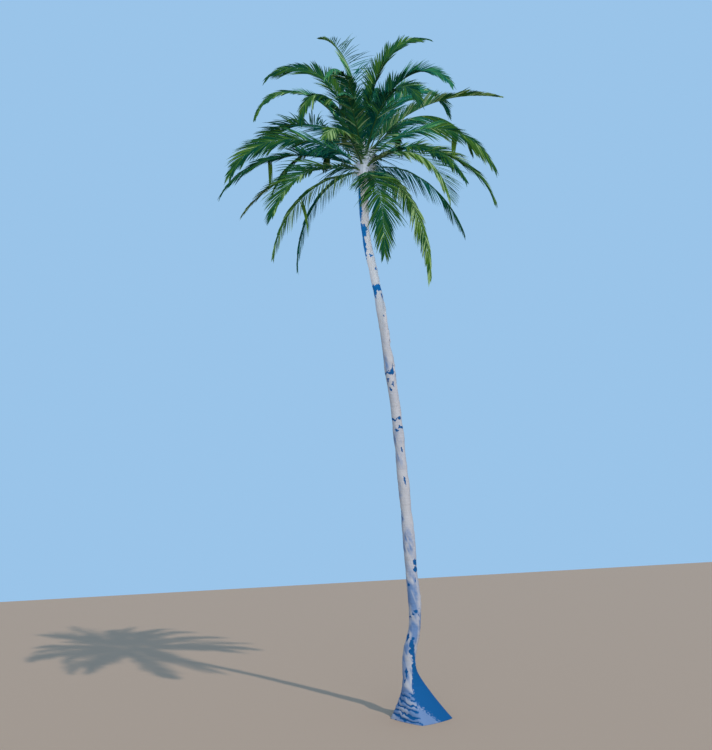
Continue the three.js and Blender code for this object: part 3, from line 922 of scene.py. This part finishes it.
# The greens, dealt out by chance and clump: five for the outer crown and, lighter and bluer, five for its
# middle, which are painted light standing in for light that the crown's own shade takes away.
TONES = {
    "deep": (0.002, 0.042, 0.024),
    "middle": (0.012, 0.068, 0.020),
    "bright": (0.038, 0.100, 0.014),
    "fresh": (0.088, 0.175, 0.024),
    # The palest green partly stands for glints on the leaflets: a painted highlight.
    "pale": (0.260, 0.360, 0.140),
    "deep_painted_light": (0.003, 0.092, 0.075),
    "middle_painted_light": (0.016, 0.128, 0.070),
    "bright_painted_light": (0.042, 0.172, 0.056),
    "fresh_painted_light": (0.100, 0.270, 0.070),
    "pale_painted_light": (0.300, 0.420, 0.200),
}
TONE_SHARES = [0.32, 0.33, 0.24, 0.09, 0.02]
TONE_CHANCE = 0.75  # how much of a leaflet's green is its own chance, and not its clump's
LIGHTER = 1.5  # how much lighter each green's patches are
LEAF_LOOK = {"scale": 6.0, "ragged": 1.6, "blotches": 0.3, "bump": 0.1}
LEAF_ROUGHNESS, LEAF_SHINE = 0.55, 0.02
PAINTED_LIGHT_REACH = 2.0  # metres from the crown's middle, within which leaflets take the greens painted lighter as painted light
CROWN_MIDDLE = HEART_MIDDLE + UP


def drift(share, generator, waves):
    """A slow, smooth wavering along a frond, from about -1 to 1: a sum of sine waves of chance phase."""
    phase = generator.uniform(0, 2 * np.pi, len(waves))
    total = sum(np.sin(2 * np.pi * wave * share + start) for wave, start in zip(waves, phase))
    return total / np.sqrt(len(waves))


def leaflets_of(frond):
    """Every leaflet of a frond as strips of points, leaflets by stations by left edge, fold and right edge,
    and the tone of each. A leaflet leaves the rib at its own angle and lift, and its line is the running
    sum of a direction that turns further down at each step."""
    generator = np.random.default_rng(1000 + frond["number"])
    youth = frond["youth"]
    usual = np.interp(youth, *LIFT) * np.array([1, 0.5, -0.5])
    near, far, other = HABITS.get(frond["number"], (usual, usual, {}))
    habit = USUAL | other
    parts, tones = [], []
    for row, lifts in enumerate((near, far)):
        outward_side = -1 if (frond["side"][1] > 0) == (row == 0) else 1
        long, wide, wide_open, limp, light, full, inside, torn_at = (habit[key][row] for key in habit)
        first = FIRST_LEAFLET_OLD + (FIRST_LEAFLET_YOUNG - FIRST_LEAFLET_OLD) * youth**2
        leafy = np.linspace(0, 1, PAIRS) + generator.uniform(-SEAT_CHANCE, SEAT_CHANCE, PAIRS)
        share = first + (LAST_LEAFLET - first) * leafy
        leafy = leafy.clip(0, 1)
        torn = abs(leafy - torn_at) < TORN_REACH
        place, along, side, above = rib_at(frond, share)
        clump = drift(share, generator, CLUMP_WAVES)
        opening = ANGLE_AT_SEAT + (ANGLE_AT_TIP - ANGLE_AT_SEAT) * leafy**ANGLE_FALL
        opening = opening * (1 - YOUNG_CLOSER * youth)
        unrest = 1 - TIP_CALM * leafy
        opening = opening + OPENING_DRIFT * clump * unrest
        opening = opening + generator.normal(0, OPENING_CHANCE, PAIRS) * unrest
        lift = np.interp(leafy, LIFT_PLACES, lifts)
        stray = LIFT_DRIFT * drift(share, generator, LIFT_WAVES)
        stray = stray + generator.normal(0, LIFT_CHANCE, PAIRS)
        opening = np.radians(np.where(torn, TORN_OPENING, opening * wide_open))[:, None]
        lift = np.radians(np.where(torn, TORN_LIFT, lift + stray * unrest))[:, None]
        outward = side * outward_side
        aslant = np.cos(lift) * outward + np.sin(lift) * above
        direction = np.cos(opening) * along + np.sin(opening) * aslant
        face = np.cos(lift) * above - np.sin(lift) * outward
        face -= (face * direction).sum(1, keepdims=True) * direction
        twist = np.radians(generator.normal(0, TWIST_CHANCE, PAIRS))[:, None]
        face /= np.linalg.norm(face, axis=1, keepdims=True)
        face = np.cos(twist) * face + np.sin(twist) * np.cross(direction, face)
        length = LEAFLET_REACH * frond["reach"] * np.interp(leafy, *LENGTHS)
        length = length * np.where(torn, TORN_LENGTH, long * (1 - LIMP_SHORTER * limp))
        length = length * (1 + CLUMP_LENGTH * clump) * generator.uniform(*LENGTH_CHANCE, PAIRS)
        droop = (np.interp(youth, *DROOP) + LIMP_DROOP * limp) * (1 + CLUMP_DROOP * clump)
        droop = droop * generator.uniform(*DROOP_CHANCE, PAIRS) + TORN_DROOP * torn
        width = LEAFLET_WIDTH * wide * np.interp(leafy, *WIDTHS)
        width = width * generator.uniform(*WIDTH_CHANCE, PAIRS)
        width = width * np.where(torn, TORN_WIDTH, 1 - LIMP_NARROWER * limp)
        rib_half = rib_width(share)[:, None]
        start = place + outward * rib_half * SEAT_OUT + above * rib_half * SEAT_UP
        kept = np.arange(PAIRS) * full % 1 < full
        parts.append(leaflet_strips(start, direction, face, length, droop, width)[kept])
        luck = TONE_CHANCE * generator.uniform(0, 1, PAIRS) + (1 - TONE_CHANCE) * (0.5 + 0.5 * clump)
        luck = np.where(torn, TORN_LUCK, luck + light)
        tone = np.searchsorted(np.cumsum(TONE_SHARES)[:-1], luck)
        from_middle = np.linalg.norm(start + direction * length[:, None] / 2 - CROWN_MIDDLE, axis=1)
        tone = tone + len(TONE_SHARES) * (from_middle < PAINTED_LIGHT_REACH * (1 + inside))
        tones.append(tone[kept])
    return np.concatenate(parts), np.concatenate(tones)


strips, tones = zip(*[leaflets_of(frond) for frond in fronds])
strips, tones = np.concatenate(strips), np.concatenate(tones)
for index, (tone, colour) in enumerate(TONES.items()):
    mesh = strips_mesh(f"leaflets_{tone}", strips[tones == index])
    material, nodes, links, shader = painted(f"leaf_{tone}", colour, LEAF_ROUGHNESS)
    shader.inputs["Specular IOR Level"].default_value = LEAF_SHINE
    lighter = tuple(LIGHTER * value for value in colour)
    weathered(nodes, links, shader, colour, lighter, **LEAF_LOOK)
    mesh.materials.append(material)
    leaflets = add(f"leaflets_{tone}", mesh)
    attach(leaflets, "root")
    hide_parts(*frond_nodes)
